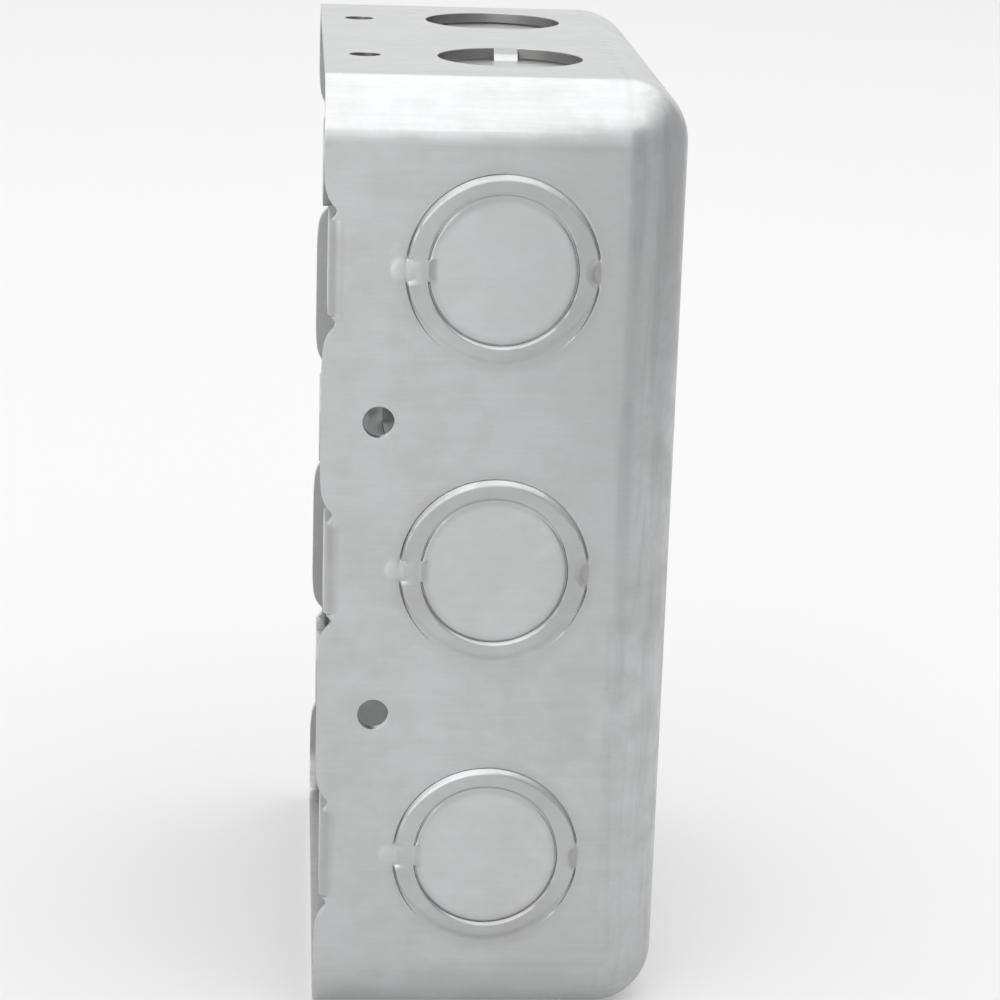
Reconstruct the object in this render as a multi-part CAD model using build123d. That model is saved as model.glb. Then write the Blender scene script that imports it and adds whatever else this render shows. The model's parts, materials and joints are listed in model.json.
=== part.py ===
from build123d import *
import math
import os

# Three-gang handy box drawn from one steel sheet, in millimetres.
# It stands on one short end: +Z is its length, +X points from the open rim to the back.

# Driving dimensions of the drawn shell
box_length = 147.64
box_width = 101.6
box_depth = 53.98
sheet = 1.59
draw_radius = 9.5

# Gangs and the device tabs bent in from the rim of the long walls
gang_count = 3
gang_pitch = 46.04
device_screw_spacing = 83.34
tab_width = 14.3
tab_recess = 0.8
tab_bend_radius = 0.4
tab_end_margin = 4.8
tab_corner_cut = 3.5
device_tap_diameter = 2.85
relief_width = 2.4
relief_depth = 1.9
relief_corner = 0.7
relief_shoulder = 1.4

# Concentric knockouts of the long walls: a proud ring round a flush disc
side_knockout_from_rim = 26.5
ring_diameter = 28.58
disc_diameter = 22.23
ring_proud = 0.5
shear_gap = 0.2
web_width = 3.5
ring_land = 0.6
wall_slope = 2.4
disc_slope = 0.75

# Single knockouts of the end walls, pushed in past the sheet, and of the back
end_knockout_from_rim = 28.4
end_knockout_spacing = 46.04
end_knockout_sink = 1.8
end_web_width = 3.7
sunk_slope = 1.6
back_knockout_sink = 0.5

# Small screw holes
side_hole_diameter = 4.76
side_hole_from_rim = 8.65
end_hole_from_rim = 6.25
back_hole_diameter = 5.56

# Places worked out from the sizes above
tab_outer_bend = tab_bend_radius + sheet
tab_bend_depth = tab_recess + tab_outer_bend
tab_hole_inset = (box_width - device_screw_spacing) / 2
tab_reach = tab_hole_inset + tab_end_margin
gang_offsets = [gang_pitch * (i - (gang_count - 1) / 2) for i in range(gang_count)]
between_gangs = [(a + b) / 2 for a, b in zip(gang_offsets, gang_offsets[1:])]
through_cut = 4 * sheet

# Working planes: local x runs from the rim to the back, local z points out of the wall
near_wall = Plane(
    origin=(-box_depth / 2, -box_width / 2, box_length / 2),
    x_dir=(1, 0, 0),
    z_dir=(0, -1, 0),
)
top_wall = Plane(
    origin=(-box_depth / 2, 0, box_length),
    x_dir=(1, 0, 0),
    z_dir=(0, 0, 1),
)
# On the back, local x is +Y and local y is +Z
back_wall = Plane(
    origin=(box_depth / 2, 0, box_length / 2),
    x_dir=(0, 1, 0),
    z_dir=(1, 0, 0),
)
middle_height = Plane.XY.offset(box_length / 2)


def rounded_block(depth, width, length, radius):
    """Block from the rim plane towards the back, rounded on every edge but the rim."""
    block = Box(depth, width, length, align=(Align.MIN, Align.CENTER, Align.MIN))
    rim = block.faces().sort_by(Axis.X)[0].edges()
    drawn_edges = [edge for edge in block.edges() if edge not in rim]
    return fillet(drawn_edges, radius)


def drawn_shell():
    """Open box with an even wall."""
    outside = rounded_block(box_depth, box_width, box_length, draw_radius)
    inside = rounded_block(
        box_depth - sheet,
        box_width - 2 * sheet,
        box_length - 2 * sheet,
        draw_radius - sheet,
    )
    shell = outside - Pos(0, 0, sheet) * inside
    return Pos(-box_depth / 2, 0, 0) * shell


def punch(diameter):
    """Round cutter through a wall, centred on its outer face."""
    return Cylinder(diameter / 2, through_cut)


def radial_block(points, width):
    """Block whose section lies in the local XZ plane, centred on that plane."""
    section = Plane.XZ * make_face(Polyline(*points, close=True))
    return extrude(section, width / 2, both=True)


def web_root(radius, width):
    """Distance from a circle's centre at which the sides of a web meet the circle."""
    return math.sqrt(radius**2 - (width / 2) ** 2)


def concentric_knockout():
    """Ring and disc of a concentric knockout, with the webs that hold them."""
    hole_radius = ring_diameter / 2
    ring_outer = hole_radius - shear_gap
    ring_inner = disc_diameter / 2
    disc_radius = ring_inner - shear_gap
    ring_foot = ring_proud - sheet
    ring = Pos(0, 0, ring_proud - sheet / 2) * Cylinder(ring_outer, sheet)
    ring -= punch(2 * ring_inner)
    disc = Pos(0, 0, -sheet / 2) * Cylinder(disc_radius, sheet)

    # Towards the back the ring slopes down to the wall
    slope_start = ring_inner + ring_land
    slope = [
        (slope_start, ring_proud),
        (web_root(ring_outer, web_width), 0),
        (hole_radius, 0),
        (hole_radius, sheet),
        (slope_start, sheet),
    ]
    ring -= radial_block(slope, web_width)
    back_web = [
        (slope_start, 0),
        (hole_radius + sheet, 0),
        (hole_radius + sheet, ring_foot),
        (slope_start, ring_foot),
    ]
    # Towards the rim the wall rises to the ring, and the ring slopes down to the disc
    rim_web = [
        (-hole_radius - wall_slope, ring_foot),
        (-hole_radius - wall_slope, 0),
        (-web_root(ring_outer, web_width), ring_proud),
        (-ring_inner, ring_proud),
        (-disc_radius + disc_slope, 0),
        (-disc_radius + disc_slope, ring_foot),
    ]
    return ring + disc + radial_block(back_web, web_width) + radial_block(rim_web, web_width)


def sunk_knockout(sink, width):
    """Disc pushed in by sink, held by one sloping web on its local +x side."""
    hole_radius = disc_diameter / 2
    disc_radius = hole_radius - shear_gap
    disc = Pos(0, 0, -sink - sheet / 2) * Cylinder(disc_radius, sheet)
    root = web_root(hole_radius, width)
    web = [
        (hole_radius + sheet, 0),
        (root, 0),
        (disc_radius - sunk_slope, -sink),
        (disc_radius - sunk_slope, -sink - sheet),
        (root, -sheet),
        (hole_radius + sheet, -sheet),
    ]
    return disc + radial_block(web, width)


def relief_notch():
    """Opening in the rim for one tab, centred on the gang, with local x into the wall."""
    tab_edge = tab_width / 2
    far_side = tab_edge + relief_width
    outline = [
        (-sheet, 0),
        (-sheet, far_side + relief_shoulder),
        (0, far_side + relief_shoulder),
        (relief_corner, far_side),
        (relief_depth - relief_corner, far_side),
        (relief_depth, far_side - relief_corner),
        (relief_depth, tab_edge + relief_corner),
        (relief_depth - relief_corner, tab_edge),
        (tab_bend_depth, tab_edge),
        (tab_bend_depth, 0),
    ]
    half = make_face(Polyline(*outline, close=True))
    notch = half + mirror(half, about=Plane.XZ)
    return extrude(notch, through_cut, both=True)


def device_tab():
    """Strip bent in from the wall, with its tapped hole, centred on the gang."""
    bend = (tab_bend_depth, -tab_outer_bend)
    outer_arc = CenterArc(bend, tab_outer_bend, 90, 90)
    inner_arc = CenterArc(bend, tab_bend_radius, 90, 90)
    front = Polyline(
        outer_arc @ 1,
        (tab_recess, -tab_reach),
        (tab_recess + sheet, -tab_reach),
        inner_arc @ 1,
    )
    foot = Line(inner_arc @ 0, outer_arc @ 0)
    section = make_face([outer_arc, front, inner_arc, foot])
    tab = extrude(Plane.XZ * section, tab_width / 2, both=True)
    end_corners = tab.edges().filter_by(Axis.X).group_by(Axis.Z)[0]
    tab = chamfer(end_corners, tab_corner_cut)
    tap = Rot(0, 90, 0) * Cylinder(device_tap_diameter / 2, through_cut)
    return tab - Pos(tab_recess + sheet / 2, 0, -tab_hole_inset) * tap


def on_both_long_walls(feature):
    """Places a feature of the near long wall, and its mirror image on the far one."""
    near = near_wall * feature
    return [near, mirror(near, about=Plane.XZ)]


def on_both_ends(feature):
    """Places a feature of the top end wall, and its mirror image on the bottom one."""
    top = top_wall * feature
    return [top, mirror(top, about=middle_height)]


def long_wall_features():
    """Cutters and added metal of the two long walls."""
    cuts = []
    metal = []
    for along in gang_offsets:
        centre = Pos(side_knockout_from_rim, along, 0)
        cuts += on_both_long_walls(centre * punch(ring_diameter))
        metal += on_both_long_walls(centre * concentric_knockout())
        cuts += on_both_long_walls(Pos(0, along, 0) * relief_notch())
        metal += on_both_long_walls(Pos(0, along, 0) * device_tab())
    for along in between_gangs:
        hole = Pos(side_hole_from_rim, along, 0) * punch(side_hole_diameter)
        cuts += on_both_long_walls(hole)
    return cuts, metal


def end_wall_features():
    """Cutters and added metal of the two end walls. Each web faces the wall's middle."""
    cuts = []
    metal = []
    for side in (-1, 1):
        across = side * end_knockout_spacing / 2
        centre = Pos(end_knockout_from_rim, across, 0)
        cuts += on_both_ends(centre * punch(disc_diameter))
        knockout = Rot(0, 0, -90 * side) * sunk_knockout(end_knockout_sink, end_web_width)
        metal += on_both_ends(centre * knockout)
        cuts += on_both_ends(Pos(end_hole_from_rim, across, 0) * punch(side_hole_diameter))
    return cuts, metal


def back_features():
    """Cutters and added metal of the back."""
    cuts = []
    metal = []
    for along in (gang_offsets[0], gang_offsets[-1]):
        centre = back_wall * Pos(0, along, 0)
        cuts.append(centre * punch(disc_diameter))
        metal.append(centre * sunk_knockout(back_knockout_sink, web_width))
    for along in between_gangs:
        cuts.append(back_wall * Pos(0, along, 0) * punch(back_hole_diameter))
    return cuts, metal


def box_body():
    """The finished box: the drawn shell, pierced, half-sheared and bent."""
    body = drawn_shell()
    for features in (long_wall_features, end_wall_features, back_features):
        cuts, metal = features()
        body = body - cuts
        body = body + metal
    return body


os.makedirs("parts", exist_ok=True)
export_step(box_body(), "parts/box_body.step")
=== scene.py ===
import json
import math

import bmesh
import bpy
from bpy.props import FloatProperty, FloatVectorProperty, IntProperty, PointerProperty
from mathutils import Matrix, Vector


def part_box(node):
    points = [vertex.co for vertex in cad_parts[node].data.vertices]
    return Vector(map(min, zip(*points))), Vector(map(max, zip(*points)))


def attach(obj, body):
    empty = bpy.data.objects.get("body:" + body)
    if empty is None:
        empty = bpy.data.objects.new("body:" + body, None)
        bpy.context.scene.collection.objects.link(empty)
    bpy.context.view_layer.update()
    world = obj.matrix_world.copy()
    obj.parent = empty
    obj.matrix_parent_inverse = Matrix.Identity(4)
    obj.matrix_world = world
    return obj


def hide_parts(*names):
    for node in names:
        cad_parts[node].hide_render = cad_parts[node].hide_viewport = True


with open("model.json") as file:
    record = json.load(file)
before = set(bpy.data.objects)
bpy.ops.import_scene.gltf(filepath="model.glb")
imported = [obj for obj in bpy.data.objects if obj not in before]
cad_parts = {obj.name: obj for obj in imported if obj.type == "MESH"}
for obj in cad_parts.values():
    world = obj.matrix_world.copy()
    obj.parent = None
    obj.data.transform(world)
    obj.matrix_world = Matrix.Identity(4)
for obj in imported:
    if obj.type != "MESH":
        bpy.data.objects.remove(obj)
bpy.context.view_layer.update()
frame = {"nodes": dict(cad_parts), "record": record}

bl_info = {
    "name": "Handy Box",
    "version": (1, 0, 0),
    "blender": (4, 5, 0),
    "location": "View3D > Sidebar > Handy Box",
    "description": "Finishes a three-gang drawn steel wiring box and sets it on a pale studio floor",
    "category": "Object",
}

MM = 0.001
BODY = "root"
NODE = "box_body"

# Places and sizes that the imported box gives
LOW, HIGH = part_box(NODE)
MOUNTS = {mount["name"]: mount for mount in frame["record"]["mounts"]}
SIDE_HOLES = MOUNTS["front_wall_holes"]
GANG_PITCH = SIDE_HOLES["dims"]["spacing_y_mm"] * MM
MIDDLE_HEIGHT = SIDE_HOLES["pos_m"][2]
HALF_LENGTH = HIGH.z - MIDDLE_HEIGHT
WALL_FACE = -SIDE_HOLES["pos_m"][1]
GANG_HEIGHTS = [MIDDLE_HEIGHT + GANG_PITCH * step for step in (-1, 0, 1)]

# Measures that agree, corners that are one, and faces that lie in one plane
SAME_PLACE = 0.02 * MM
SAME_CORNER = 0.001 * MM
SAME_PLANE = math.radians(0.1)

# Parts of a normal: above the first a face looks along an axis, and below the second across it
LOOKS_ALONG = 0.99
LOOKS_ACROSS = 0.5

# Places of the axes in a vector
X_AXIS = 0
Y_AXIS = 1

# Angles between faces: at the corners of reliefs and tabs, at sheared edges, and where shading breaks
CORNER_ANGLE = math.radians(20)
SHEAR_ANGLE = math.radians(50)
SHADING_ANGLE = math.radians(35)

# How far the sides of a sheared groove lean in over its depth
GROOVE_STEP = 0.01 * MM

# Circles of a side knockout's outside, in millimetres from the sheared edge that they follow
WALL_CIRCLES = (2.4, 2.12, 1.95, 1.7, 1.4, 1.1, 0.75, 0.4, 0.2, 0.1)
RING_OUTER_CIRCLES = (0.1, 0.2, 0.3, 0.45, 0.6, 0.8, 0.95, 1.05, 1.4, 1.9)
RING_INNER_CIRCLES = (0.9, 0.6, 0.45, 0.3, 0.2, 0.12, 0.05)
DISC_CIRCLES = (0.05, 0.12, 0.4, 0.8, 1.2, 1.6)

# The same for its inside, where the grooves are cut past the ring
INSIDE_WALL_CIRCLES = (2.1, 1.3)
INSIDE_DISC_CIRCLES = (0.8, 1.6)
INSIDE_RING_LAND = 1.0 * MM
INSIDE_GROOVE = 0.4 * MM

# Share of the sheet, from the wall's face inwards, that holds all of a knockout's outside
OUTSIDE_SHARE = 0.4

# Heights over a circle's middle, as shares of its radius, between which its side turns into its top
SIDE_END = 0.2
TOP_START = 0.9

# Power that gives the crisp form of a rolled edge its crown
ROLL_CROWN = 1.15

# Scales of the noise in the finish along X, Y and Z, in cycles a metre
FINE_STREAKS = (90.0, 2600.0, 2600.0)
BROAD_STREAKS = (25.0, 700.0, 700.0)
ZINC_CLOUDS = (55.0, 55.0, 55.0)
ZINC_PATCHES = (190.0, 240.0, 240.0)
SHEET_WAVES = (75.0, 75.0, 75.0)
LINE_BREAKS = (60.0, 60.0, 60.0)
UPRIGHT_RUBS = (420.0, 420.0, 32.0)
UNEVEN_DARKENING = (70.0, 70.0, 70.0)

WHITE = (1.0, 1.0, 1.0, 1.0)
FLOOR_SIZE = 40.0


def length(name, description, millimetres):
    """Property for a length of the box."""
    size = millimetres * MM
    return FloatProperty(name=name, description=description, default=size, unit="LENGTH", precision=5)


def lengths(name, description, millimetres):
    """Property for one length above a circle's middle, one beside it and one below."""
    return FloatVectorProperty(
        name=name,
        description=description + ", above, beside and below the middle",
        default=[value * MM for value in millimetres],
        unit="LENGTH",
        precision=5,
    )


def count(name, description, value, least):
    """Property for a number of like pieces."""
    return IntProperty(name=name, description=description, default=value, min=least)


def colour(name, description, value):
    """Property for a colour."""
    return FloatVectorProperty(
        name=name,
        description=description,
        subtype="COLOR",
        default=value,
        min=0.0,
        max=1.0,
    )


def share(name, description, value):
    """Property for a share between nought and one."""
    return FloatProperty(
        name=name,
        description=description,
        subtype="FACTOR",
        default=value,
        min=0.0,
        max=1.0,
    )


def power(name, description, watts):
    """Property for the power of a lamp."""
    return FloatProperty(name=name, description=description, subtype="POWER", default=watts)


class SheetShape(bpy.types.PropertyGroup):
    """Sizes of the sheet and its edges."""

    sheet: length("Sheet", "Thickness of the steel", 1.59)
    tab_width: length("Tab width", "Width of the device tabs", 14.3)
    tab_corner: length("Tab corner", "Rounding of the corners of the device tabs", 1.2)
    relief_reach: length("Relief reach", "How far from the rim the relief corners lie", 2.0)
    relief_corner: length("Relief corner", "Rounding of the corners of the rim reliefs", 0.4)
    lip_from_rim: length("Lip from rim", "From the rim to the lip of each relief", 0.7)
    lip_from_gang: length("Lip from gang", "From a gang's middle to the lip of its reliefs", 9.55)
    lip_flare: length("Lip flare", "How much further along the rim each lip is drawn", 0.8)
    shoulder_from_gang: length("Shoulder from gang", "From a gang's middle to a relief's end", 10.95)
    shoulder_flare: length("Shoulder flare", "How much further each relief runs out", 0.5)
    bow_depth: length("Bow depth", "How far the rim is drawn back beside each relief", 0.3)
    bow_reach: length("Bow reach", "How far along the rim the bow runs", 4.5)
    bow_cuts: count("Bow cuts", "Pieces of the rim along each bow", 6, least=2)
    edge_softness: length("Edge softness", "Rounding of the sheared edges", 0.1)


class SideKnockout(bpy.types.PropertyGroup):
    """Sizes of the concentric knockouts in the long walls."""

    from_rim: length("From rim", "From the rim to the knockout's middle", 26.5)
    patch_radius: length("Patch radius", "Radius of the wall drawn with the knockout", 17.2)
    seam: length("Seam", "Width of the strip that joins a patch to the wall", 0.2)
    hole_radius: length("Hole radius", "Radius of the sheared edge in the wall", 14.4)
    ring_outer_radius: length("Ring outside radius", "Outside radius of the ring", 14.33)
    ring_inner_radius: length("Ring inside radius", "Inside radius of the ring", 11.14)
    disc_radius: length("Disc radius", "Radius of the disc", 10.98)
    ring_proud: length("Ring proud", "How far the ring stands out of the wall", 0.5)
    outer_roll_width: lengths("Outside roll", "Width of the ring's outer rolled edge", (0.75, 0.3, 1.5))
    outer_foot: lengths("Outside foot", "Level of the outer rolled edge's foot", (-0.08, -0.12, 0.0))
    outer_groove: lengths("Outside groove", "Level of the groove outside the ring", (-0.2, -0.3, 0.0))
    inner_roll_width: lengths("Inside roll", "Width of the ring's inner rolled edge", (0.6, 0.12, 0.38))
    wall_roll_width: lengths("Wall roll", "Width of the wall's rolled edge", (0.4, 0.15, 0.12))
    inner_foot: lengths("Inside foot", "Level of the inner rolled edge's foot", (0.1, 0.0, 0.0))
    inner_groove: lengths("Inside groove", "Level of the groove inside the ring", (0.1, -0.3, -0.3))
    disc_slope: length("Disc slope", "Run of the slope at the disc's upper edge", 1.2)
    edge_softness: length("Edge softness", "Rounding of the sheared edges of wall and disc", 0.12)
    web_width: length("Web width", "Width of the webs that hold ring and disc", 3.5)
    web_edge: length("Web edge", "Width over which a web's sides fall away", 0.45)
    web_drop: share("Web drop", "How much lower the ring stands by its webs", 0.35)
    web_slope: length("Web slope", "Run of the slope from the ring down to the disc", 1.2)
    web_blend: length("Web blend", "Width of the ring that runs out into the swelling", 2.4)
    swelling_height: length("Swelling height", "Height of the swelling at the web by the rim", 0.14)
    swelling_middle: length("Swelling middle", "From the hole's edge to the swelling's middle", 0.75)
    swelling_reach: length("Swelling reach", "From its middle to its foot, off the ring", 1.35)
    swelling_half_width: length("Swelling half width", "From its middle to its side", 1.8)
    press_reach: length("Press reach", "How far the pressed spot reaches into the ring", 1.8)
    press_half_width: length("Press half width", "From the middle of the pressed spot to its end", 2.1)
    press_slope: length("Press slope", "Run of the slope down into the pressed spot", 0.9)
    segments: count("Segments", "Corners of each circle", 216, least=24)


class EndKnockout(bpy.types.PropertyGroup):
    """Sizes of the sunk knockouts in the end walls."""

    from_rim: length("From rim", "From the rim to the knockout's middle", 28.4)
    web_width: length("Web width", "Width of the web that holds the disc", 3.7)


class ZincFinish(bpy.types.PropertyGroup):
    """Colours, gloss and marks of the galvanised sheet, and the colours of its painted shade and
    painted highlights.
    """

    bright_colour: colour("Bright zinc", "Colour of clean zinc", (0.535, 0.545, 0.553))
    dull_colour: colour("Dull zinc", "Colour of handled and stained zinc", (0.465, 0.470, 0.468))
    # Colour of the rubs of the drawing dies and the darker ring faces, and of the painted shade at the
    # starts of the roundings, on the tab bends, on the rings' pressed spots and beside the shear lines
    marks_and_shade_colour: colour("Tool marks", "Colour of zinc that the dies marked", (0.330, 0.330, 0.325))
    # Colour of the painted highlight on the swellings and the painted light on the discs
    highlight_colour: colour("Rubbed zinc", "Colour of zinc polished by rubbing", (0.640, 0.650, 0.655))
    # Colour of the painted shade on the sheared walls of the end-wall holes
    hole_shade_colour: colour("Sheared steel", "Colour of bare sheared steel", (0.275, 0.270, 0.258))
    least_roughness: share("Least roughness", "Roughness of the brightest patches", 0.30)
    most_roughness: share("Most roughness", "Roughness of the dullest patches", 0.46)
    burnish: share("Burnish", "Share of the roughness that is left on the end roundings", 0.5)
    # Strength of the painted shade where each rounding starts
    rounding_shade_strength: share("Lines", "Strength of the lines where a rounding starts", 0.2)
    rub_strength: share("Rubs", "Strength of the rubs along the upright roundings", 0.3)
    # Strength of the darker ring faces and of the painted shade on the rings' pressed spots and beside
    # the shear lines
    ring_tone_and_shade_strength: share("Pressed rings", "Strength of the marks on the rings", 0.8)
    # Strength of the painted shade on the tab bends
    smudge_strength: share("Smudges", "Strength of the smudges on the tab bends", 0.8)
    # Strength of the painted shade beside the shear lines of the side knockouts
    shear_shade_strength: share("Grime", "Strength of the grime beside the shear lines", 0.35)
    # Strength of the painted highlight on the swellings and the painted light on the discs
    highlight_strength: share("Polish", "Strength of the polish on swellings and discs", 0.3)
    grain_depth: length("Grain depth", "Depth of the rolled grain", 0.004)
    wave_depth: length("Wave depth", "Depth of the gentle waves of the drawn sheet", 0.06)
    draw_radius: length("Draw radius", "Outside radius of the drawn edges", 9.5)


class StudioStage(bpy.types.PropertyGroup):
    """Camera, lamps and floor."""

    camera_place: FloatVectorProperty(
        name="Camera place",
        description="Where the camera stands",
        subtype="TRANSLATION",
        default=(-0.03203, -0.50708, 0.21035),
        precision=5,
    )
    camera_turn: FloatVectorProperty(
        name="Camera turn",
        description="Turn of the camera about X, Y and Z",
        subtype="EULER",
        default=[math.radians(angle) for angle in (72.867, -1.782, -3.538)],
    )
    camera_lens: FloatProperty(
        name="Lens",
        description="Focal length in millimetres",
        subtype="DISTANCE_CAMERA",
        default=113.6,
    )
    camera_shift: FloatProperty(
        name="Upward shift",
        description="Vertical shift of the lens as a share of the picture",
        default=0.1,
    )
    sky_light: share("Sky light", "Strength of the light from all round", 0.7)
    floor_colour: colour("Floor", "Colour of the floor", (0.62, 0.62, 0.62))
    floor_glow: share("Floor glow", "How much the floor is lightened where it is seen", 0.21)
    right_card_colour: colour("Right card", "Colour of the card at the right", (0.58, 0.58, 0.59))
    front_card_colour: colour("Front card", "Colour of the card in front", (0.50, 0.50, 0.51))
    overhead_power: power("Overhead lamp", "Power of the soft lamp above", 41.7)
    front_power: power("Front lamp", "Power of the low soft lamp in front", 1.4)
    mouth_power: power("Mouth lamp", "Power of the soft lamp before the open side", 1.2)


class HandyBoxSettings(bpy.types.PropertyGroup):
    """Everything that can be set for the handy box."""

    sheet: PointerProperty(type=SheetShape)
    knockout: PointerProperty(type=SideKnockout)
    end_knockout: PointerProperty(type=EndKnockout)
    finish: PointerProperty(type=ZincFinish)
    stage: PointerProperty(type=StudioStage)


def near(first, second):
    """Whether two measures agree."""
    return abs(first - second) < SAME_PLACE


def smooth_step(start, end, value):
    """Rises smoothly from nought at start to one at end."""
    ratio = min(max((value - start) / (end - start), 0.0), 1.0)
    return ratio * ratio * (3.0 - 2.0 * ratio)


def from_knockout(place, knockout):
    """Place seen from the axis of the nearest side knockout: towards the back, and up."""
    height = min(GANG_HEIGHTS, key=lambda level: abs(level - place.z))
    return place.x - LOW.x - knockout.from_rim, place.z - height


def from_axis(place, knockout):
    """Distance of a place from the axis of the nearest side knockout."""
    return math.hypot(*from_knockout(place, knockout))


def from_gang(place):
    """Distance of a place from the middle of the nearest gang, along the wall."""
    return min(abs(place.z - height) for height in GANG_HEIGHTS)


def new_object(name, data):
    """Object of the given data, placed in the scene."""
    made = bpy.data.objects.new(name, data)
    bpy.context.collection.objects.link(made)
    return made


def make_active(piece):
    """Selects one piece alone and makes it the active one."""
    bpy.ops.object.select_all(action="DESELECT")
    piece.select_set(True)
    bpy.context.view_layer.objects.active = piece


def start_editing(piece):
    """Opens a piece in edit mode with nothing selected."""
    make_active(piece)
    bpy.ops.object.mode_set(mode="EDIT")
    bpy.ops.mesh.select_all(action="DESELECT")


def select(piece, kind, wanted):
    """Selects the corners, edges or faces in edit mode that pass the test, and no others."""
    bpy.ops.mesh.select_mode(type=kind)
    bpy.ops.mesh.select_all(action="DESELECT")
    mesh = bmesh.from_edit_mesh(piece.data)
    elements = {"VERT": mesh.verts, "EDGE": mesh.edges, "FACE": mesh.faces}[kind]
    for element in elements:
        if wanted(element):
            element.select_set(True)
    mesh.select_flush_mode()
    bmesh.update_edit_mesh(piece.data)


def round_edges(piece, wanted, size, segments):
    """Rounds the edges that pass the test."""
    select(piece, "EDGE", wanted)
    bpy.ops.mesh.bevel(offset=size, segments=segments, affect="EDGES", clamp_overlap=False)


def merged_copy(name):
    """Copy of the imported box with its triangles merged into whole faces."""
    piece = new_object(name, frame["nodes"][NODE].data.copy())
    start_editing(piece)
    bpy.ops.mesh.select_all(action="SELECT")
    bpy.ops.mesh.remove_doubles(threshold=SAME_CORNER)
    bpy.ops.mesh.customdata_custom_splitnormals_clear()
    bpy.ops.mesh.mark_sharp(clear=True)
    bpy.ops.mesh.dissolve_limited(angle_limit=SAME_PLANE)
    bpy.ops.object.mode_set(mode="OBJECT")
    return piece


def cut_knockout_holes(box, knockout):
    """Cuts a plain round hole through both long walls at each gang."""
    past_both_walls = 2.2 * HIGH.y
    for height in GANG_HEIGHTS:
        bpy.ops.object.select_all(action="DESELECT")
        bpy.ops.mesh.primitive_cylinder_add(
            vertices=knockout.segments,
            radius=knockout.patch_radius,
            depth=past_both_walls,
            location=(LOW.x + knockout.from_rim, 0.0, height),
            rotation=(math.pi / 2, 0.0, 0.0),
        )
        cutter = bpy.context.object
        make_active(box)
        cut = box.modifiers.new("knockout hole", "BOOLEAN")
        cut.operation = "DIFFERENCE"
        cut.solver = "EXACT"
        cut.object = cutter
        bpy.ops.object.modifier_apply(modifier=cut.name)
        bpy.data.objects.remove(cutter)


def open_hole_walls(box, knockout):
    """Takes away the inside of each plain hole, so that only its two edges are left."""

    def in_hole(face):
        if abs(face.normal.y) >= LOOKS_ACROSS:
            return False
        return all(near(from_axis(corner.co, knockout), knockout.patch_radius) for corner in face.verts)

    select(box, "FACE", in_hole)
    bpy.ops.mesh.delete(type="FACE")


def open_edge(level, height):
    """Test for the open edges at one level of a long wall, by one gang."""

    def is_open(edge):
        if not edge.is_boundary:
            return False
        return all(
            near(corner.co.y, level) and abs(corner.co.z - height) < GANG_PITCH / 2
            for corner in edge.verts
        )

    return is_open


def join_patches(box, sheet):
    """Joins the open edges of the holes to the edges of the patches, outside and inside."""
    for side in (-1, 1):
        for level in (side * WALL_FACE, side * (WALL_FACE - sheet)):
            for height in GANG_HEIGHTS:
                select(box, "EDGE", open_edge(level, height))
                bpy.ops.mesh.bridge_edge_loops()


def shear_radii(knockout):
    """Radii of the four sheared edges: the hole, the ring's outside and inside, and the disc."""
    ring = knockout.ring_outer_radius, knockout.ring_inner_radius
    return knockout.hole_radius, *ring, knockout.disc_radius


def outside_profile(knockout):
    """Radius of each circle of a knockout's outside, from the wall to the disc, still level."""
    hole, outer, inner, disc = shear_radii(knockout)
    radii = [hole + reach * MM for reach in WALL_CIRCLES]
    radii += [hole, hole - GROOVE_STEP, outer + GROOVE_STEP, outer]
    radii += [outer - reach * MM for reach in RING_OUTER_CIRCLES]
    radii += [inner + reach * MM for reach in RING_INNER_CIRCLES]
    radii += [inner, inner - GROOVE_STEP, disc + GROOVE_STEP, disc]
    radii += [disc - reach * MM for reach in DISC_CIRCLES]
    return [(radius, 0.0) for radius in radii]


def inside_profile(knockout):
    """Radius and level of each circle of a knockout's inside, from the wall to the disc."""
    proud = knockout.ring_proud
    groove = proud + INSIDE_GROOVE
    soft = knockout.edge_softness
    hole, outer, inner, disc = shear_radii(knockout)
    wall_circles = [(hole + reach * MM, 0.0) for reach in INSIDE_WALL_CIRCLES]
    disc_circles = [(disc - reach * MM, 0.0) for reach in INSIDE_DISC_CIRCLES]
    edges = [
        (hole + soft, 0.0),
        (hole, soft),
        (hole - GROOVE_STEP, groove),
        (outer + GROOVE_STEP, groove),
        (outer, proud + soft),
        (outer - soft, proud),
        (inner + INSIDE_RING_LAND, proud),
        (inner + soft, proud),
        (inner, proud + soft),
        (inner - GROOVE_STEP, groove),
        (disc + GROOVE_STEP, groove),
        (disc, soft),
        (disc - soft, 0.0),
    ]
    return wall_circles + edges + disc_circles


def inset_circles(radius, profile, outward):
    """Insets the selected flat face, circle by circle, along the profile."""
    level = 0.0
    for next_radius, next_level in profile:
        bpy.ops.mesh.inset(thickness=radius - next_radius, depth=(next_level - level) * outward)
        radius = next_radius
        level = next_level


def towards_top(up):
    """Rises from nought at a circle's side to one at its top."""
    return smooth_step(SIDE_END, TOP_START, up)


def by_height(up, values):
    """Value on a circle that has one value above its middle, one beside it and one below."""
    above = towards_top(up)
    below = towards_top(-up)
    return above * values[0] + (1.0 - above - below) * values[1] + below * values[2]


def rolled(ratio, softness):
    """Height of a rolled edge, as a share, from its foot at nought to its face at one."""
    ratio = min(max(ratio, 0.0), 1.0)
    crisp = 1.0 - (1.0 - ratio) ** ROLL_CROWN
    return crisp + (smooth_step(0.0, 1.0, ratio) - crisp) * softness


def ring_lift(knockout, towards_back, radius):
    """Share of its full height at which the ring stands, because the webs hold it back."""
    return 1.0 - knockout.web_drop * (towards_back / radius) ** 2


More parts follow.
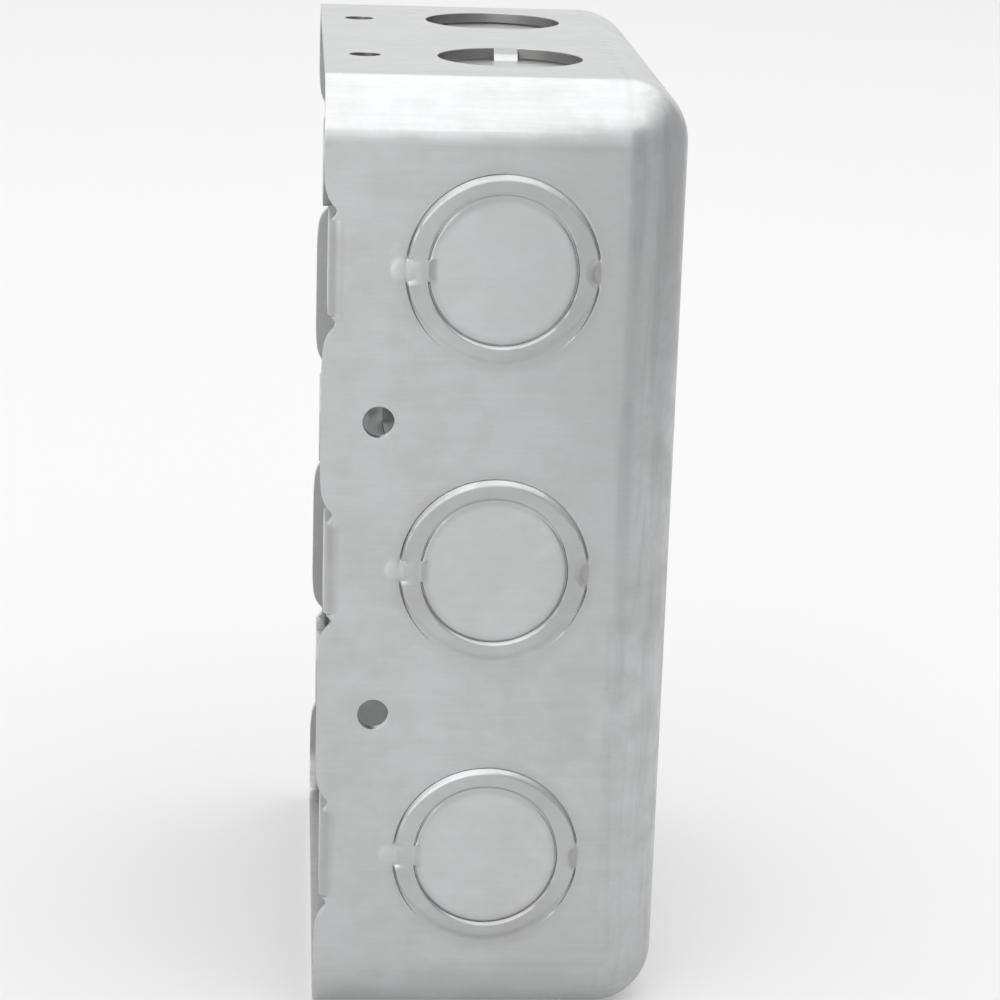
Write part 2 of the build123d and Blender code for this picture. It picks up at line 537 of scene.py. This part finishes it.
def ring_level(knockout, radius, up, proud):
    """Level of the ring's face between its two rolled edges."""
    outer_foot = by_height(up, knockout.outer_foot)
    inner_foot = by_height(up, knockout.inner_foot)
    from_outside = (knockout.ring_outer_radius - radius) / by_height(up, knockout.outer_roll_width)
    from_inside = (radius - knockout.ring_inner_radius) / by_height(up, knockout.inner_roll_width)
    outer_roll = rolled(from_outside, towards_top(-up))
    inner_roll = rolled(from_inside, towards_top(up))
    return min(
        outer_foot + (proud - outer_foot) * outer_roll,
        inner_foot + (proud - inner_foot) * inner_roll,
    )


def outside_level(knockout, radius, up, proud):
    """Level of a knockout's outside, away from its webs."""
    hole, outer, inner, disc = shear_radii(knockout)
    soft = knockout.edge_softness
    outer_groove = by_height(up, knockout.outer_groove)
    inner_groove = by_height(up, knockout.inner_groove)
    clear = GROOVE_STEP / 3
    if radius > hole - clear:
        roll_width = by_height(up, knockout.wall_roll_width)
        dip = max(1.0 - (radius - hole) / roll_width, 0.0)
        return dip * dip * max(outer_groove, -soft)
    if radius > outer + clear:
        return outer_groove
    if radius > inner - clear:
        return ring_level(knockout, radius, up, proud)
    if radius > disc + clear:
        return inner_groove
    from_edge = disc - radius
    dip = max(1.0 - from_edge / soft, 0.0)
    flat = smooth_step(0.0, knockout.disc_slope, from_edge)
    rise = by_height(up, knockout.inner_foot) * (1.0 - flat)
    return rise + dip * dip * max(min(inner_groove - rise, 0.0), -soft)


def swelling_level(knockout, beyond_hole, across):
    """Level of the round swelling where the ring hangs on the wall, and nought beside it."""
    away = math.hypot(
        (beyond_hole - knockout.swelling_middle) / knockout.swelling_reach,
        across / knockout.swelling_half_width,
    )
    return knockout.swelling_height * math.sqrt(max(1.0 - away * away, 0.0))


def pressed_level(knockout, radius, across, level):
    """Level where the ring is pressed down to the wall at its back, and its own level elsewhere."""
    ratio = across / knockout.press_half_width
    if abs(ratio) >= 1.0:
        return level
    top = knockout.ring_outer_radius - knockout.press_reach * math.sqrt(1.0 - ratio * ratio)
    return level * (1.0 - smooth_step(top, top + knockout.press_slope, radius))


def web_level(knockout, towards_back, across, level):
    """Level of a place on or beside a web, and its own level elsewhere."""
    radius = math.hypot(towards_back, across)
    if towards_back >= 0:
        return pressed_level(knockout, radius, across, level)
    hole, outer, inner, disc = shear_radii(knockout)
    swelling = swelling_level(knockout, max(radius - hole, 0.0), across)
    if radius > hole:
        return max(level, swelling)
    proud = knockout.ring_proud * ring_lift(knockout, towards_back, radius)
    if radius > inner:
        blend_start = outer - knockout.web_blend
        web = proud + (swelling - proud) * smooth_step(blend_start, hole, radius)
    else:
        slope_end = disc - knockout.web_slope
        web = proud * smooth_step(slope_end, inner, radius)
    half_width = knockout.web_width / 2
    half_edge = knockout.web_edge / 2
    on_web = 1.0 - smooth_step(half_width - half_edge, half_width + half_edge, abs(across))
    return level + (web - level) * on_web


def shape_ring(patch, knockout, sheet):
    """Raises the ring and sinks the grooves round it, and shapes the webs that hold ring and disc."""
    mesh = bmesh.from_edit_mesh(patch.data)
    for corner in mesh.verts:
        towards_back, across = from_knockout(corner.co, knockout)
        radius = math.hypot(towards_back, across)
        lift = ring_lift(knockout, towards_back, radius)
        outside = -corner.co.y > WALL_FACE - OUTSIDE_SHARE * sheet
        ground = WALL_FACE if outside else WALL_FACE - sheet
        if outside:
            level = outside_level(knockout, radius, across / radius, lift * knockout.ring_proud)
        else:
            level = (-corner.co.y - ground) * lift
        corner.co.y = -ground - web_level(knockout, towards_back, across, level)
    bmesh.update_edit_mesh(patch.data)


def knockout_patch(knockout, sheet):
    """Both skins of the lowest knockout of the near wall, with a strip of the wall round them."""
    radius = knockout.patch_radius - knockout.seam
    skins = (
        (WALL_FACE, 1, outside_profile(knockout)),
        (WALL_FACE - sheet, -1, inside_profile(knockout)),
    )
    patch = new_object("knockout_patch", bpy.data.meshes.new("knockout_patch"))
    start_editing(patch)
    for level, outward, profile in skins:
        bpy.ops.mesh.select_all(action="DESELECT")
        bpy.ops.mesh.select_mode(type="FACE")
        bpy.ops.mesh.primitive_circle_add(
            vertices=knockout.segments,
            radius=radius,
            fill_type="NGON",
            location=(LOW.x + knockout.from_rim, -level, GANG_HEIGHTS[0]),
            rotation=(outward * math.pi / 2, 0.0, 0.0),
        )
        inset_circles(radius, profile, outward)
    shape_ring(patch, knockout, sheet)
    bpy.ops.object.mode_set(mode="OBJECT")
    return patch


def place_patches(box, patch):
    """Copies the patch to every knockout of both long walls and joins the copies to the box."""
    copies = []
    for side in (-1, 1):
        for height in GANG_HEIGHTS:
            copy = new_object("knockout_copy", patch.data.copy())
            start_editing(copy)
            bpy.ops.mesh.select_all(action="SELECT")
            bpy.ops.transform.translate(value=(0.0, 0.0, height - GANG_HEIGHTS[0]))
            if side > 0:
                bpy.ops.transform.resize(value=(1.0, -1.0, 1.0), center_override=(0.0, 0.0, 0.0))
                bpy.ops.mesh.flip_normals()
            bpy.ops.object.mode_set(mode="OBJECT")
            copies.append(copy)
    bpy.data.objects.remove(patch)
    make_active(box)
    for copy in copies:
        copy.select_set(True)
    bpy.ops.object.join()


def relief_point(from_front, along):
    """Test for the corners at one distance from the front and one from each gang's middle."""

    def at_point(corner):
        if not near(corner.co.x, from_front):
            return False
        return any(near(corner.co.z, height + along) for height in GANG_HEIGHTS)

    return at_point


def flare_reliefs(box, sheet):
    """Runs the reliefs out along the rim, at the lip of each and where it meets the rim."""
    moves = (
        (LOW.x, sheet.shoulder_from_gang, sheet.shoulder_flare),
        (LOW.x + sheet.lip_from_rim, sheet.lip_from_gang, sheet.lip_flare),
    )
    for from_front, along, flare in moves:
        for direction in (-1, 1):
            select(box, "VERT", relief_point(from_front, direction * along))
            bpy.ops.transform.translate(value=(0.0, 0.0, direction * flare))


def on_rim(face):
    """Whether a face is part of the rim."""
    return face.normal.x < -LOOKS_ALONG and near(face.calc_center_median().x, LOW.x)


def bow_rim(box, sheet):
    """Draws the rim of the long walls back in a gentle bow beside each relief."""
    bow_start = sheet.shoulder_from_gang + sheet.shoulder_flare
    for height in GANG_HEIGHTS:
        for direction in (-1, 1):
            for cut in range(1, sheet.bow_cuts + 1):
                along = bow_start + sheet.bow_reach * cut / sheet.bow_cuts
                select(box, "FACE", on_rim)
                bpy.ops.mesh.bisect(
                    plane_co=(0.0, 0.0, height + direction * along),
                    plane_no=(0.0, 0.0, 1.0),
                )
    mesh = bmesh.from_edit_mesh(box.data)
    for corner in mesh.verts:
        in_long_wall = abs(corner.co.y) > WALL_FACE - sheet.sheet - SAME_PLACE
        ratio = (from_gang(corner.co) - bow_start) / sheet.bow_reach
        if in_long_wall and near(corner.co.x, LOW.x) and ratio < 1.0:
            corner.co.x += sheet.bow_depth * (1.0 - max(ratio, 0.0)) ** 2
    bmesh.update_edit_mesh(box.data)


def runs_through(edge, axis, sheet):
    """Whether an edge runs along an axis from one face of the sheet to the other."""
    start, end = (corner.co for corner in edge.verts)
    straight = all(near(start[other], end[other]) for other in range(3) if other != axis)
    return straight and near((start - end).length, sheet.sheet)


def relief_corner(sheet):
    """Test for the corners of the rim reliefs."""

    def at_corner(edge):
        by_rim = edge.verts[0].co.x < LOW.x + sheet.relief_reach
        if not (by_rim and runs_through(edge, Y_AXIS, sheet)):
            return False
        return edge.calc_face_angle() > CORNER_ANGLE

    return at_corner


def tab_corner(sheet):
    """Test for the corners of the device tabs."""
    bend_room = 2.0 * sheet.sheet

    def at_corner(edge):
        place = edge.verts[0].co
        in_mouth = abs(place.y) < WALL_FACE - bend_room and place.x < LOW.x + bend_room
        if not (in_mouth and edge.is_convex and runs_through(edge, X_AXIS, sheet)):
            return False
        return edge.calc_face_angle() > CORNER_ANGLE

    return at_corner


def beside_bend(place, sheet):
    """Whether a place lies on the wall's outer edge beside the bend of a tab."""
    return near(abs(place.y), WALL_FACE) and near(from_gang(place), sheet.tab_width / 2)


def sheared_edge(sheet, knockout):
    """Test for the square edges of rim, tabs and holes, clear of the side knockouts."""
    behind_wall = WALL_FACE - 1.5 * sheet.sheet
    clear_radius = knockout.patch_radius + sheet.sheet

    def is_sheared(edge):
        if not edge.is_convex or edge.calc_length() < sheet.edge_softness / 2:
            return False
        if edge.calc_face_angle() < SHEAR_ANGLE:
            return False
        if all(beside_bend(corner.co, sheet) for corner in edge.verts):
            return False
        for corner in edge.verts:
            if abs(corner.co.y) > behind_wall and from_axis(corner.co, knockout) < clear_radius:
                return False
        return True

    return is_sheared


def opaque(rgb):
    """Colour as a node takes it."""
    return (*rgb, 1.0)


def new_node(tree, kind, inputs=None, **settings):
    """Adds a node, sets its options, and gives each named input a value or a link."""
    node = tree.nodes.new(kind)
    for name, value in settings.items():
        setattr(node, name, value)
    for name, value in (inputs or {}).items():
        if isinstance(value, bpy.types.NodeSocket):
            tree.links.new(value, node.inputs[name])
        else:
            node.inputs[name].default_value = value
    return node


def new_group(name, *outputs):
    """Starts a shader node group that takes a place and puts out the named values."""
    tree = bpy.data.node_groups.new(name, "ShaderNodeTree")
    tree.interface.new_socket("Vector", in_out="INPUT", socket_type="NodeSocketVector")
    for label in outputs:
        tree.interface.new_socket(label, in_out="OUTPUT", socket_type="NodeSocketFloat")
    start = tree.nodes.new("NodeGroupInput")
    end = tree.nodes.new("NodeGroupOutput")
    return tree, start.outputs["Vector"], end.inputs


def arithmetic(tree, operation, first, second=0.0, third=0.0, clamp=False):
    """Output of one Math node."""
    node = new_node(tree, "ShaderNodeMath", {0: first, 1: second, 2: third}, operation=operation)
    node.use_clamp = clamp
    return node.outputs[0]


def product(tree, first, *others):
    """Output that multiplies all the values."""
    for other in others:
        first = arithmetic(tree, "MULTIPLY", first, other)
    return first


def highest(tree, first, *others):
    """Output that follows the highest of the values."""
    for other in others:
        first = arithmetic(tree, "MAXIMUM", first, other)
    return first


def shared_out(tree, first, second, first_share):
    """Output that takes a share of one value and the rest of another."""
    part = product(tree, first, first_share)
    rest = product(tree, second, 1.0 - first_share)
    return arithmetic(tree, "ADD", part, rest)


def mix_colour(tree, factor, first, second):
    """Output of one colour Mix node."""
    inputs = {"Factor": factor, "A": first, "B": second}
    return new_node(tree, "ShaderNodeMix", inputs, data_type="RGBA").outputs["Result"]


def remap(tree, value, from_low, from_high, to_low=0.0, to_high=1.0):
    """Output of one smooth Map Range node."""
    inputs = {
        "Value": value,
        "From Min": from_low,
        "From Max": from_high,
        "To Min": to_low,
        "To Max": to_high,
    }
    node = new_node(tree, "ShaderNodeMapRange", inputs, interpolation_type="SMOOTHSTEP")
    return node.outputs["Result"]


def falling(tree, value, start, end):
    """Output that falls smoothly from one at start to nought at end."""
    return remap(tree, value, start, end, to_low=1.0, to_high=0.0)


def away_from(tree, value, middle):
    """Output for how far a value is from the middle, to either side."""
    return arithmetic(tree, "ABSOLUTE", arithmetic(tree, "SUBTRACT", value, middle))


def thin_line(tree, value, middle, half_width):
    """Output of one where the value is at the middle, falling to nought at half_width from it."""
    return falling(tree, away_from(tree, value, middle), 0.0, half_width)


def noise(tree, vector, scale, detail=4.0, roughness=0.55, distortion=0.0):
    """Output of one Noise Texture, with a scale for each axis."""
    mapping = new_node(tree, "ShaderNodeMapping", {"Vector": vector, "Scale": scale})
    inputs = {
        "Vector": mapping.outputs["Vector"],
        "Scale": 1.0,
        "Detail": detail,
        "Roughness": roughness,
        "Distortion": distortion,
    }
    return new_node(tree, "ShaderNodeTexNoise", inputs).outputs["Fac"]


def measures(tree, place):
    """Outputs for a place's X, and for its distances from the middle of the box in Y and Z."""
    axes = new_node(tree, "ShaderNodeSeparateXYZ", {"Vector": place}).outputs
    from_side = arithmetic(tree, "ABSOLUTE", axes["Y"])
    return axes["X"], from_side, away_from(tree, axes["Z"], MIDDLE_HEIGHT)


def rolled_grain_group():
    """Fine streaks that the rolling mill leaves along the sheet."""
    tree, place, made = new_group("Rolled grain", "Streaks", "Height")
    fine = noise(tree, place, FINE_STREAKS)
    broad = noise(tree, place, BROAD_STREAKS, detail=3.0)
    streaks = shared_out(tree, fine, broad, first_share=0.6)
    tree.links.new(remap(tree, streaks, from_low=0.35, from_high=0.65), made["Streaks"])
    tree.links.new(fine, made["Height"])
    return tree


def zinc_bloom_group():
    """Cloudy patches of duller zinc, large and small, and the gentle waves of the sheet."""
    tree, place, made = new_group("Zinc bloom", "Bloom", "Waves")
    clouds = noise(tree, place, ZINC_CLOUDS, distortion=0.4)
    patches = noise(tree, place, ZINC_PATCHES, detail=5.0, roughness=0.6)
    bloom = shared_out(tree, clouds, patches, first_share=0.55)
    tree.links.new(remap(tree, bloom, from_low=0.36, from_high=0.66), made["Bloom"])
    tree.links.new(noise(tree, place, SHEET_WAVES, detail=1.0), made["Waves"])
    return tree


def draw_marks_and_painted_shade_group(finish):
    """Painted shade in broken lines where each rounding starts, marks that the drawing dies rubbed
    along the roundings, and burnished ends.
    """
    tree, place, made = new_group("Draw marks", "Lines", "Rubs", "Burnished")
    across, from_side, from_middle = measures(tree, place)
    radius = finish.draw_radius
    half_line = 0.9 * MM
    # Painted shade in thin lines where each rounding starts, broken up by noise
    lines = highest(
        tree,
        thin_line(tree, across, HIGH.x - radius, half_line),
        thin_line(tree, from_side, WALL_FACE - radius, half_line),
        thin_line(tree, from_middle, HALF_LENGTH - radius, half_line),
    )
    broken = remap(tree, noise(tree, place, LINE_BREAKS), from_low=0.42, from_high=0.62)
    tree.links.new(product(tree, lines, broken), made["Lines"])

    band_start = HIGH.x - radius - 3.0 * MM
    rub_full = HIGH.x - 0.6 * radius
    well_round = 0.7 * radius
    on_back_rounding = remap(tree, across, band_start, rub_full)
    by_side = remap(tree, from_side, WALL_FACE - radius, WALL_FACE - well_round)
    upright = noise(tree, place, UPRIGHT_RUBS, roughness=0.6, distortion=0.5)
    rubs = remap(tree, upright, from_low=0.45, from_high=0.68)
    on_rounding = product(tree, on_back_rounding, by_side)
    tree.links.new(product(tree, rubs, on_rounding), made["Rubs"])

    by_end = remap(tree, from_middle, HALF_LENGTH - radius, HALF_LENGTH - well_round)
    clear_of_back = falling(tree, across, HIGH.x - 2.0 * radius, HIGH.x - well_round)
    burnished = product(tree, by_end, by_side, clear_of_back)
    tree.links.new(burnished, made["Burnished"])
    return tree


def ring_tone_and_painted_light_group(knockout, sheet, finish):
    """Darker ring faces with painted shade on their pressed spots and beside the shear lines, painted
    shade on the tab bends, painted highlights on the swellings and painted light on the discs.
    """
    tree, place, made = new_group("Die marks", "Pressed", "Smudged", "Rubbed")
    axes = new_node(tree, "ShaderNodeSeparateXYZ", {"Vector": place}).outputs
    towards_back = arithmetic(tree, "SUBTRACT", axes["X"], LOW.x + knockout.from_rim)
    height = arithmetic(tree, "SUBTRACT", axes["Z"], GANG_HEIGHTS[0])
    height = arithmetic(tree, "WRAP", height, GANG_PITCH / 2, -GANG_PITCH / 2)
    behind_wall = WALL_FACE - 3.0 * MM
    wall_inside = WALL_FACE - 2.0 * MM
    in_wall = remap(tree, arithmetic(tree, "ABSOLUTE", axes["Y"]), behind_wall, wall_inside)
    unevenness = noise(tree, place, UNEVEN_DARKENING)
    uneven = remap(tree, unevenness, from_low=0.3, from_high=0.7, to_low=0.35)

    def from_point(middle, reach=1.0, half_width=1.0):
        away = arithmetic(tree, "SUBTRACT", towards_back, middle)
        across = arithmetic(tree, "DIVIDE", away, reach)
        up = arithmetic(tree, "DIVIDE", height, half_width)
        flat = new_node(tree, "ShaderNodeCombineXYZ", {"X": across, "Y": up})
        measure = new_node(tree, "ShaderNodeVectorMath", {0: flat.outputs[0]}, operation="LENGTH")
        return measure.outputs["Value"]

    hole, outer, inner, disc = shear_radii(knockout)
    radius = from_point(0.0)
    face_start = inner + 0.4 * MM
    face_end = outer - 0.8 * MM
    roll_middle = outer - 0.3 * MM
    ring = product(
        tree,
        remap(tree, radius, inner, face_start, to_high=0.5),
        falling(tree, radius, face_end, roll_middle),
        uneven,
    )
    # Painted shade on the spot where the ring is pressed down at its back
    from_press = from_point(outer, knockout.press_reach, knockout.press_half_width)
    on_ring = falling(tree, radius, outer, hole + 0.3 * MM)
    spot = product(tree, falling(tree, from_press, 0.6, 1.0), on_ring)
    # Darker ring faces together with the painted shade on the pressed spot and beside the shear lines
    pressed = highest(tree, ring, spot)
    # Painted shade in a soft halo beside the sheared edges of the hole and the disc
    for shear_line, reach in ((hole, 2.0 * MM), (disc, 1.3 * MM)):
        halo = thin_line(tree, radius, shear_line, reach)
        shade = product(tree, halo, uneven, finish.shear_shade_strength)
        pressed = highest(tree, pressed, shade)
    tree.links.new(product(tree, pressed, in_wall), made["Pressed"])

    # Painted shade on the bends of the tabs
    half_tab = sheet.tab_width / 2
    tab_inside = half_tab - 0.6 * MM
    tab_outside = half_tab + 0.2 * MM
    on_tab = falling(tree, arithmetic(tree, "ABSOLUTE", height), tab_inside, tab_outside)
    bend_middle = LOW.x + 1.9 * MM
    half_bend = 1.5 * MM
    on_bend = thin_line(tree, axes["X"], bend_middle, half_bend)
    tab_bend_shade = product(tree, on_bend, on_tab, uneven, in_wall)
    tree.links.new(tab_bend_shade, made["Smudged"])

    # Painted highlight on the swellings, and painted light over the discs away from their edges
    half_swelling = knockout.swelling_half_width
    from_swelling = from_point(-hole - knockout.swelling_middle)
    swelling = falling(tree, from_swelling, 0.5 * half_swelling, 1.05 * half_swelling)
    band_start = disc - 1.2 * MM
    band_end = disc - 0.3 * MM
    disc_face = remap(tree, radius, band_start, band_end, to_low=0.8, to_high=0.0)
    highlighted = highest(tree, swelling, disc_face)
    tree.links.new(product(tree, highlighted, in_wall), made["Rubbed"])
    return tree


def shaded_hole_walls_group(end_knockout, sheet, finish):
    """Painted shade on the sheared walls of the holes in the end walls, and not on the webs there."""
    tree, place, made = new_group("Sheared walls", "Sheared")
    across, from_side, from_middle = measures(tree, place)
    soft = 0.1 * MM
    inner_face = HALF_LENGTH - sheet.sheet
    side_end = WALL_FACE - finish.draw_radius
    back_end = HIGH.x - finish.draw_radius
    half_web = end_knockout.web_width / 2
    from_web = away_from(tree, across, LOW.x + end_knockout.from_rim)
    beside_web = remap(tree, from_web, half_web, half_web + soft)
    opposite_web = remap(tree, from_side, GANG_PITCH / 2 - soft, GANG_PITCH / 2)
    sheared = product(
        tree,
        remap(tree, from_middle, inner_face, inner_face + soft),
        falling(tree, from_middle, HALF_LENGTH - 2.0 * soft, HALF_LENGTH - soft),
        remap(tree, across, LOW.x + soft, LOW.x + 2.0 * soft),
        falling(tree, across, back_end - soft, back_end),
        falling(tree, from_side, side_end - soft, side_end),
        highest(tree, beside_web, opposite_web),
    )
    tree.links.new(sheared, made["Sheared"])
    return tree


def galvanised_steel(settings):
    """Galvanised sheet: soft gloss, rolled grain, cloudy zinc, the rubs of the drawing dies and darker
    ring faces, with painted shade and painted highlights.
    """
    finish = settings.finish
    sheet = settings.sheet
    material = bpy.data.materials.new("galvanised_steel_finish")
    material.use_nodes = True
    tree = material.node_tree
    shader = tree.nodes["Principled BSDF"]
    shader.inputs["Metallic"].default_value = 1.0
    place = new_node(tree, "ShaderNodeTexCoord").outputs["Object"]

    def effect(group):
        return new_node(tree, "ShaderNodeGroup", {"Vector": place}, node_tree=group).outputs

    grain = effect(rolled_grain_group())
    bloom = effect(zinc_bloom_group())
    draw = effect(draw_marks_and_painted_shade_group(finish))
    rings_and_painted_light = effect(ring_tone_and_painted_light_group(settings.knockout, sheet, finish))
    walls = effect(shaded_hole_walls_group(settings.end_knockout, sheet, finish))

    dullness = shared_out(tree, bloom["Bloom"], grain["Streaks"], first_share=0.75)
    zinc = mix_colour(tree, dullness, opaque(finish.bright_colour), opaque(finish.dull_colour))
    # Darkening: painted shade at the rounding starts, on the tab bends, on the rings' pressed spots and
    # beside the shear lines, with the rubs and the darker ring faces
    marks = highest(
        tree,
        product(tree, draw["Lines"], finish.rounding_shade_strength),
        product(tree, draw["Rubs"], finish.rub_strength),
        product(tree, rings_and_painted_light["Pressed"], finish.ring_tone_and_shade_strength),
        product(tree, rings_and_painted_light["Smudged"], finish.smudge_strength),
    )
    marked = mix_colour(tree, marks, zinc, opaque(finish.marks_and_shade_colour))
    # Painted highlight on the swellings and painted light on the discs
    highlight = product(tree, rings_and_painted_light["Rubbed"], finish.highlight_strength)
    brightened = mix_colour(tree, highlight, marked, opaque(finish.highlight_colour))
    # Painted shade on the sheared walls of the end-wall holes
    sheared = mix_colour(tree, walls["Sheared"], brightened, opaque(finish.hole_shade_colour))
    tree.links.new(sheared, shader.inputs["Base Color"])

    roughness = remap(tree, dullness, 0.0, 1.0, finish.least_roughness, finish.most_roughness)
    burnish = remap(tree, draw["Burnished"], 0.0, 1.0, 1.0, finish.burnish)
    tree.links.new(product(tree, roughness, burnish), shader.inputs["Roughness"])

    waves = {"Height": bloom["Waves"], "Strength": 1.0, "Distance": finish.wave_depth}
    wave_bump = new_node(tree, "ShaderNodeBump", waves)
    streaks = {"Height": grain["Height"], "Strength": 1.0, "Distance": finish.grain_depth}
    streaks["Normal"] = wave_bump.outputs["Normal"]
    grain_bump = new_node(tree, "ShaderNodeBump", streaks)
    tree.links.new(grain_bump.outputs["Normal"], shader.inputs["Normal"])
    return material


def background_rays(tree):
    """One for rays that should see the white background, and nought for the rest."""
    path = new_node(tree, "ShaderNodeLightPath").outputs
    seen = arithmetic(tree, "ADD", path["Is Camera Ray"], path["Is Glossy Ray"])
    return arithmetic(tree, "ADD", seen, path["Is Transmission Ray"], clamp=True)


def make_world(context, stage):
    """White backdrop with softer light for everything that isn't looking at it."""
    world = bpy.data.worlds.new("studio")
    world.use_nodes = True
    tree = world.node_tree
    tree.nodes.clear()
    white = {"Color": WHITE, "Strength": 1.0}
    soft = {"Color": WHITE, "Strength": stage.sky_light}
    backdrop = new_node(tree, "ShaderNodeBackground", white).outputs[0]
    light = new_node(tree, "ShaderNodeBackground", soft).outputs[0]
    shaders = {0: background_rays(tree), 1: light, 2: backdrop}
    mix = new_node(tree, "ShaderNodeMixShader", shaders)
    new_node(tree, "ShaderNodeOutputWorld", {"Surface": mix.outputs[0]})
    context.scene.world = world


def bare_material(name):
    """New material without any nodes."""
    material = bpy.data.materials.new(name)
    material.use_nodes = True
    material.node_tree.nodes.clear()
    return material


def make_floor(stage):
    """Pale floor that keeps the shadow of the box."""
    bpy.ops.mesh.primitive_plane_add(size=FLOOR_SIZE, location=(0.0, 0.0, 0.0))
    floor = bpy.context.object
    floor.name = "floor"
    material = bare_material("pale_floor")
    tree = material.node_tree
    matt = new_node(tree, "ShaderNodeBsdfDiffuse", {"Color": opaque(stage.floor_colour)})
    seen = product(tree, background_rays(tree), stage.floor_glow)
    glow = new_node(tree, "ShaderNodeEmission", {"Strength": seen})
    both = new_node(tree, "ShaderNodeAddShader", {0: matt.outputs[0], 1: glow.outputs[0]})
    new_node(tree, "ShaderNodeOutputMaterial", {"Surface": both.outputs[0]})
    floor.data.materials.append(material)


def make_lamp(name, watts, place, turn, size):
    """Soft oblong lamp that the camera doesn't see, turned by degrees about X, Y and Z."""
    light = bpy.data.lights.new(name, "AREA")
    light.shape = "RECTANGLE"
    light.size, light.size_y = size
    light.energy = watts
    lamp = new_object(name, light)
    lamp.location = place
    lamp.rotation_euler = [math.radians(angle) for angle in turn]
    lamp.visible_camera = False


def make_card(name, grey, place, turn, size):
    """Upright grey card, turned by degrees about Z and seen only in the gloss of the steel."""
    bpy.ops.mesh.primitive_plane_add(
        size=1.0,
        location=place,
        rotation=(math.pi / 2, 0.0, math.radians(turn)),
    )
    card = bpy.context.object
    card.name = name
    card.scale = (*size, 1.0)
    card.visible_camera = False
    card.visible_diffuse = False
    card.visible_shadow = False
    material = bare_material(name)
    tree = material.node_tree
    face = new_node(tree, "ShaderNodeEmission", {"Color": opaque(grey), "Strength": 1.0})
    new_node(tree, "ShaderNodeOutputMaterial", {"Surface": face.outputs[0]})
    card.data.materials.append(material)


def make_camera(context, stage):
    """Camera at the photograph's angle."""
    lens = bpy.data.cameras.new("camera")
    lens.lens = stage.camera_lens
    lens.shift_y = stage.camera_shift
    lens.clip_start = 0.01
    camera = new_object("camera", lens)
    camera.location = stage.camera_place
    camera.rotation_euler = stage.camera_turn
    context.scene.camera = camera


class HANDYBOX_OT_drawn_box(bpy.types.Operator):
    """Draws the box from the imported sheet, with rolled knockouts and softly sheared edges"""

    bl_idname = "handybox.drawn_box"
    bl_label = "Drawn box"

    def execute(self, context):
        settings = context.scene.handy_box
        sheet = settings.sheet
        knockout = settings.knockout
        box = merged_copy("drawn_box")
        cut_knockout_holes(box, knockout)
        start_editing(box)
        flare_reliefs(box, sheet)
        bow_rim(box, sheet)
        round_edges(box, relief_corner(sheet), sheet.relief_corner, segments=3)
        round_edges(box, tab_corner(sheet), sheet.tab_corner, segments=4)
        round_edges(box, sheared_edge(sheet, knockout), sheet.edge_softness, segments=2)
        open_hole_walls(box, knockout)
        bpy.ops.object.mode_set(mode="OBJECT")
        place_patches(box, knockout_patch(knockout, sheet.sheet))
        start_editing(box)
        join_patches(box, sheet.sheet)
        bpy.ops.object.mode_set(mode="OBJECT")
        bpy.ops.object.shade_smooth_by_angle(angle=SHADING_ANGLE)
        even = box.modifiers.new("even normals", "WEIGHTED_NORMAL")
        even.keep_sharp = True
        bpy.ops.object.modifier_apply(modifier=even.name)
        box.data.materials.clear()
        box.data.materials.append(galvanised_steel(settings))
        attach(box, BODY)
        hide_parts(NODE)
        return {"FINISHED"}


class HANDYBOX_OT_stage(bpy.types.Operator):
    """Sets the pale floor, the soft lamps and the camera"""

    bl_idname = "handybox.stage"
    bl_label = "Studio stage"

    def execute(self, context):
        stage = context.scene.handy_box.stage
        make_world(context, stage)
        make_floor(stage)
        make_lamp(
            "overhead_lamp", stage.overhead_power,
            place=(0.0, -1.1, 1.5), turn=(0.0, 0.0, 0.0), size=(2.5, 6.2),
        )
        make_lamp(
            "front_lamp", stage.front_power,
            place=(0.0, -2.2, 0.55), turn=(75.0, 0.0, 0.0), size=(1.6, 0.7),
        )
        make_lamp(
            "mouth_lamp", stage.mouth_power,
            place=(-0.55, -0.8, 0.3), turn=(80.0, 0.0, -34.5), size=(0.7, 0.6),
        )
        make_card(
            "right_card", stage.right_card_colour,
            place=(0.43, -0.03, 0.2), turn=90.0, size=(0.95, 0.4),
        )
        make_card(
            "front_card", stage.front_card_colour,
            place=(0.114, -0.295, 0.15), turn=25.0, size=(0.145, 0.3),
        )
        make_camera(context, stage)
        context.scene.view_settings.view_transform = "Standard"
        return {"FINISHED"}


class HANDYBOX_PT_sidebar(bpy.types.Panel):
    """Lists the steps of the handy box"""

    bl_idname = "HANDYBOX_PT_sidebar"
    bl_label = "Handy Box"
    bl_space_type = "VIEW_3D"
    bl_region_type = "UI"
    bl_category = "Handy Box"

    def draw(self, context):
        for step in STEPS:
            self.layout.operator(step.bl_idname)


STEPS = (HANDYBOX_OT_drawn_box, HANDYBOX_OT_stage)
CLASSES = (
    SheetShape,
    SideKnockout,
    EndKnockout,
    ZincFinish,
    StudioStage,
    HandyBoxSettings,
    *STEPS,
    HANDYBOX_PT_sidebar,
)


def register():
    """Registers the settings, the operators and the panel."""
    for kind in CLASSES:
        bpy.utils.register_class(kind)
    bpy.types.Scene.handy_box = PointerProperty(type=HandyBoxSettings)


def unregister():
    """Takes them all away again."""
    del bpy.types.Scene.handy_box
    for kind in reversed(CLASSES):
        bpy.utils.unregister_class(kind)


def main():
    """Builds every piece and the stage."""
    register()
    bpy.ops.handybox.drawn_box()
    bpy.ops.handybox.stage()


if __name__ == "__main__":
    main()
